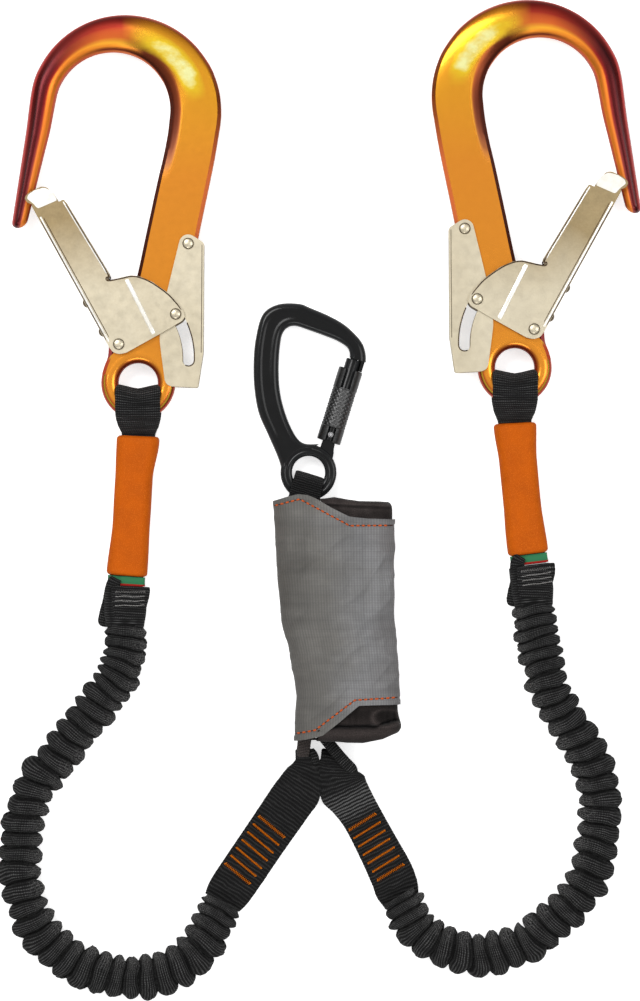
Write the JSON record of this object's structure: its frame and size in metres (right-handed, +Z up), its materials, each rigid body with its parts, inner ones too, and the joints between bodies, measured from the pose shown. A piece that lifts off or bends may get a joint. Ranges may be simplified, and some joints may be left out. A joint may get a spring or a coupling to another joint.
{
  "type": "energy-absorbing y-lanyard",
  "caption": "Forked energy-absorbing safety lanyard with large scaffold hooks, gathered elastic legs, a fabric-wrapped absorber pack and a twist-lock karabiner.",
  "frame": {"origin": "on the ground, at the middle of the absorber cover's underside", "axes": "+Y from the arm loops towards the hooks, +Z up from the ground, +X to the right as seen from above with the hooks at the top"},
  "size_m": [0.385, 0.5996, 0.034],
  "materials": {
    "orange_anodised": "orange anodised, satin",
    "nickel_steel": "nickel plated, satin",
    "spring_steel": "bare spring wire",
    "black_anodised": "black anodised",
    "black_webbing": "woven webbing",
    "black_fabric": "coated woven fabric",
    "grey_ripstop": "ripstop weave",
    "brown_strap": "woven strap",
    "orange_sleeve": "fine-grained shrink sleeve",
    "green_label": "woven label"
  },
  "bodies": {
    "absorber": {"absorber_cover": "grey_ripstop", "absorber_pouch": "black_fabric", "tear_webbing": "black_webbing", "tie_strap": "brown_strap", "karabiner_loop": "black_webbing"},
    "karabiner": {"karabiner_body": "black_anodised", "karabiner_pivot_pin": "nickel_steel"},
    "karabiner_gate": {"karabiner_gate": "black_anodised", "sleeve_spring": "spring_steel"},
    "locking_sleeve": {"locking_sleeve": "black_anodised"},
    "left_arm": {"left_arm_loop": "black_webbing", "left_elastic_arm": "black_webbing", "left_cuff": "black_webbing", "left_label": "green_label", "left_grip_sleeve": "orange_sleeve", "left_hook_loop": "black_webbing"},
    "left_hook": {"left_hook_body": "orange_anodised", "left_gate_pivot_rivet": "nickel_steel", "left_lever_rivet": "nickel_steel", "left_gate_spring": "spring_steel", "left_lever_spring": "spring_steel"},
    "left_gate": {"left_gate": "nickel_steel", "left_guide_rivet": "nickel_steel"},
    "left_lock_lever": {"left_lock_lever": "nickel_steel"},
    "right_arm": {"right_arm_loop": "black_webbing", "right_elastic_arm": "black_webbing", "right_cuff": "black_webbing", "right_label": "green_label", "right_grip_sleeve": "orange_sleeve", "right_hook_loop": "black_webbing"},
    "right_hook": {"right_hook_body": "orange_anodised", "right_gate_pivot_rivet": "nickel_steel", "right_lever_rivet": "nickel_steel", "right_gate_spring": "spring_steel", "right_lever_spring": "spring_steel"},
    "right_gate": {"right_gate": "nickel_steel", "right_guide_rivet": "nickel_steel"},
    "right_lock_lever": {"right_lock_lever": "nickel_steel"}
  },
  "joints": [
    {"name": "karabiner_flap", "type": "hinge", "parent": "absorber", "child": "karabiner", "pos_m": [-0.01077, 0.07215, 0.0073], "axis": [1, 0, 0], "range_deg": [0, 70], "deforming": ["karabiner_loop"]},
    {"name": "karabiner_gate_swing", "type": "hinge", "parent": "karabiner", "child": "karabiner_gate", "pos_m": [0.00253, 0.1083, 0.0073], "axis": [0, 0, 1], "range_deg": [0, 22], "stiffness_Nm_per_rad": 0.06, "springref_deg": -28.65},
    {"name": "sleeve_twist", "type": "hinge", "parent": "karabiner_gate", "child": "locking_sleeve", "pos_m": [0.00253, 0.1083, 0.0073], "axis": [0.2974, 0.9548, 0], "range_deg": [0, 90]},
    {"name": "left_arm_swing", "type": "hinge", "parent": "absorber", "child": "left_arm", "pos_m": [-0.0075, -0.0914, 0.0048], "axis": [0, 0, 1], "range_deg": [-3, 12], "deforming": ["left_arm_loop"]},
    {"name": "left_hook_flap", "type": "hinge", "parent": "left_arm", "child": "left_hook", "pos_m": [-0.11277, 0.1222, 0.0115], "axis": [1, 0, 0], "range_deg": [0, 80], "deforming": ["left_hook_loop"]},
    {"name": "left_gate_swing", "type": "hinge", "parent": "left_hook", "child": "left_gate", "pos_m": [-0.12407, 0.1621, 0.0115], "axis": [0, 0, -1], "range_deg": [0, 42], "stiffness_Nm_per_rad": 0.4, "springref_deg": -28.65},
    {"name": "left_lever_swing", "type": "hinge", "parent": "left_hook", "child": "left_lock_lever", "pos_m": [-0.08267, 0.2223, 0.0115], "axis": [0, 0, -1], "range_deg": [0, 3.51]},
    {"name": "right_arm_swing", "type": "hinge", "parent": "absorber", "child": "right_arm", "pos_m": [0.0066, -0.0914, 0.0048], "axis": [0, 0, -1], "range_deg": [-3, 12], "deforming": ["right_arm_loop"]},
    {"name": "right_hook_flap", "type": "hinge", "parent": "right_arm", "child": "right_hook", "pos_m": [0.11277, 0.1312, 0.0115], "axis": [1, 0, 0], "range_deg": [0, 80], "deforming": ["right_hook_loop"]},
    {"name": "right_gate_swing", "type": "hinge", "parent": "right_hook", "child": "right_gate", "pos_m": [0.12407, 0.1711, 0.0115], "axis": [0, 0, 1], "range_deg": [0, 42], "stiffness_Nm_per_rad": 0.4, "springref_deg": -28.65},
    {"name": "right_lever_swing", "type": "hinge", "parent": "right_hook", "child": "right_lock_lever", "pos_m": [0.08267, 0.2313, 0.0115], "axis": [0, 0, 1], "range_deg": [0, 3.51]}
  ],
  "couplings": [
    {"joint": "sleeve_twist", "follows": "karabiner_gate_swing", "ratio": 4.09},
    {"joint": "left_lever_swing", "follows": "left_gate_swing", "ratio": 0.083333},
    {"joint": "right_lever_swing", "follows": "right_gate_swing", "ratio": 0.083333}
  ]
}
